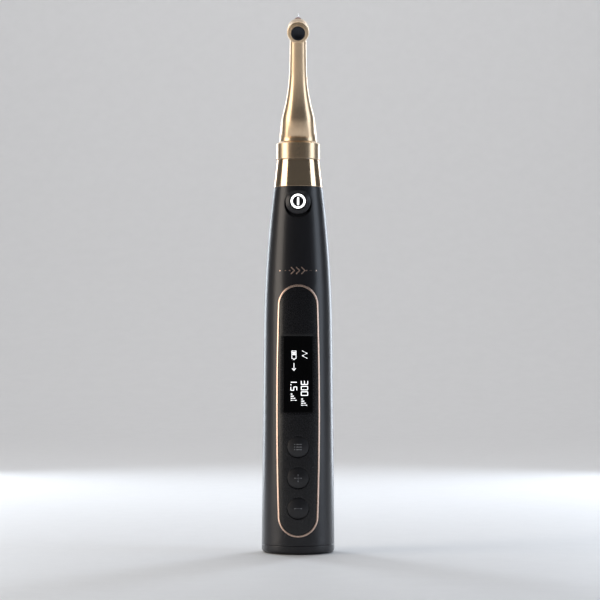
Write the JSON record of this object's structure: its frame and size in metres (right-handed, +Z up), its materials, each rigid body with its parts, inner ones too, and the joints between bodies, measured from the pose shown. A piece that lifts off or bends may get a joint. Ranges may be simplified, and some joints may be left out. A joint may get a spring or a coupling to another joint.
{
  "type": "endodontic motor",
  "caption": "Cordless endodontic motor: tapered handpiece with display and keys, geared contra-angle with a push-button chuck, and a rotary file with a silicone stop.",
  "frame": {"origin": "centre of the flat tail face that the motor stands on", "axes": "+Z up the handpiece to the head, -Y the front with the display and keys, +X to the right seen from the front"},
  "size_m": [0.0268, 0.0371, 0.2019],
  "materials": {
    "graphite_shell": "satin graphite lacquer",
    "panel_black": "smooth black panel",
    "trim_copper": "polished rose copper plate",
    "display_glass": "black display window",
    "key_rubber": "satin black key tops",
    "icon_light": "lit white light guide",
    "gold_polished": "polished champagne gold plate",
    "gold_satin": "satin champagne gold plate",
    "cap_dark": "dark moulded press cap",
    "steel": "machined stainless steel",
    "file_metal": "ground nickel-titanium",
    "brass_gold": "turned brass",
    "bronze": "sintered bronze",
    "stop_red": "red silicone",
    "seal_rubber": "black rubber",
    "frame_plastic": "moulded grey nylon",
    "board_green": "circuit board",
    "chip_black": "moulded components",
    "battery_wrap": "heat-shrink sleeve on the cell",
    "copper_wire": "enamelled copper winding",
    "ferrite": "sintered ferrite and magnet"
  },
  "bodies": {
    "handpiece": {"front_shell": "graphite_shell", "rear_shell": "graphite_shell", "end_cap": "graphite_shell", "cap_screws": "steel", "charging_coil": "copper_wire", "coil_ferrite": "ferrite", "panel_cover": "panel_black", "trim_ring": "trim_copper", "display_lens": "display_glass", "display_module": "chip_black", "power_board": "board_green", "key_switches": "chip_black", "main_board": "board_green", "board_components": "chip_black", "battery_cell": "battery_wrap", "battery_contacts": "steel", "motor_board": "board_green", "inner_frame": "frame_plastic", "motor_can": "steel", "motor_tail_plate": "frame_plastic", "stator_winding": "copper_wire", "motor_bearings": "steel", "coupling_socket": "steel", "nose_ring": "gold_polished"},
    "program_button": {"program_key": "key_rubber"},
    "plus_button": {"plus_key": "key_rubber"},
    "minus_button": {"minus_key": "key_rubber"},
    "power_button": {"power_key": "graphite_shell", "power_icon": "icon_light"},
    "rotor": {"rotor_magnet": "ferrite", "motor_shaft": "steel", "drive_dog": "steel"},
    "coupling": {"coupling_spigot": "steel", "locating_pins": "steel", "spigot_o_ring": "seal_rubber", "coupling_bearings": "bronze", "retaining_ring": "steel", "ring_gear": "steel"},
    "input": {"input_shaft": "steel", "sun_gear": "steel"},
    "carrier": {"planet_carrier": "steel", "bend_drive_gear": "steel"},
    "planet_1": {"planet_gear_1": "steel"},
    "planet_2": {"planet_gear_2": "steel"},
    "planet_3": {"planet_gear_3": "steel"},
    "contra_angle": {"collar": "gold_satin", "angle_housing": "gold_satin", "neck_bearings": "bronze", "head_bearings": "steel", "cap_ring": "gold_polished", "cap_spring": "steel"},
    "neck_drive": {"neck_shaft": "steel", "bend_driven_gear": "steel", "head_pinion": "steel"},
    "chuck": {"chuck_spindle": "steel", "chuck_gear": "steel"},
    "press_button": {"press_cap": "cap_dark"},
    "file": {"file_shank": "brass_gold", "file_blade": "file_metal"},
    "stop": {"file_stop": "stop_red"}
  },
  "joints": [
    {"name": "program_press", "type": "slide", "parent": "handpiece", "child": "program_button", "axis": [0, 1, 0], "range_m": [0, 0.0003], "stiffness_N_per_m": 800},
    {"name": "plus_press", "type": "slide", "parent": "handpiece", "child": "plus_button", "axis": [0, 1, 0], "range_m": [0, 0.0003], "stiffness_N_per_m": 800},
    {"name": "minus_press", "type": "slide", "parent": "handpiece", "child": "minus_button", "axis": [0, 1, 0], "range_m": [0, 0.0003], "stiffness_N_per_m": 800},
    {"name": "power_press", "type": "slide", "parent": "handpiece", "child": "power_button", "axis": [0, 0.9938, -0.1115], "range_m": [0, 0.0003], "stiffness_N_per_m": 800},
    {"name": "motor_spin", "type": "hinge", "parent": "handpiece", "child": "rotor", "pos_m": [0, 0, 0.115], "axis": [0, 0, 1], "continuous": true},
    {"name": "contra_angle_release", "type": "slide", "parent": "handpiece", "child": "coupling", "axis": [0, 0, 1], "range_m": [0, 0.016]},
    {"name": "head_swivel", "type": "hinge", "parent": "coupling", "child": "contra_angle", "pos_m": [0, 0, 0.148], "axis": [0, 0, 1], "continuous": true},
    {"name": "input_spin", "type": "hinge", "parent": "coupling", "child": "input", "pos_m": [0, 0, 0.142], "axis": [0, 0, 1], "continuous": true},
    {"name": "carrier_spin", "type": "hinge", "parent": "coupling", "child": "carrier", "pos_m": [0, 0, 0.15], "axis": [0, 0, 1], "continuous": true},
    {"name": "planet_1_spin", "type": "hinge", "parent": "carrier", "child": "planet_1", "pos_m": [0.0036, 0, 0.1475], "axis": [0, 0, 1], "continuous": true},
    {"name": "planet_2_spin", "type": "hinge", "parent": "carrier", "child": "planet_2", "pos_m": [-0.0018, 0.00312, 0.1475], "axis": [0, 0, 1], "continuous": true},
    {"name": "planet_3_spin", "type": "hinge", "parent": "carrier", "child": "planet_3", "pos_m": [-0.0018, -0.00312, 0.1475], "axis": [0, 0, 1], "continuous": true},
    {"name": "neck_shaft_spin", "type": "hinge", "parent": "contra_angle", "child": "neck_drive", "pos_m": [0, -0.01419, 0.191], "axis": [0, -0.342, 0.9397], "continuous": true},
    {"name": "chuck_spin", "type": "hinge", "parent": "contra_angle", "child": "chuck", "pos_m": [0, -0.01419, 0.191], "axis": [0, 0.9397, 0.342], "continuous": true},
    {"name": "cap_press", "type": "slide", "parent": "contra_angle", "child": "press_button", "axis": [0, 0.9397, 0.342], "range_m": [0, 0.0008], "stiffness_N_per_m": 800},
    {"name": "file_pull", "type": "slide", "parent": "chuck", "child": "file", "axis": [0, 0.9397, 0.342], "range_m": [0, 0.0095]},
    {"name": "stop_slide", "type": "slide", "parent": "file", "child": "stop", "axis": [0, 0.9397, 0.342], "range_m": [-0.006, 0.014]}
  ],
  "couplings": [
    {"joint": "input_spin", "follows": "motor_spin", "ratio": 1},
    {"joint": "carrier_spin", "follows": "motor_spin", "ratio": 0.25},
    {"joint": "planet_1_spin", "follows": "motor_spin", "ratio": -0.75},
    {"joint": "planet_2_spin", "follows": "motor_spin", "ratio": -0.75},
    {"joint": "planet_3_spin", "follows": "motor_spin", "ratio": -0.75},
    {"joint": "neck_shaft_spin", "follows": "motor_spin", "ratio": 0.25},
    {"joint": "chuck_spin", "follows": "motor_spin", "ratio": -0.16667}
  ]
}
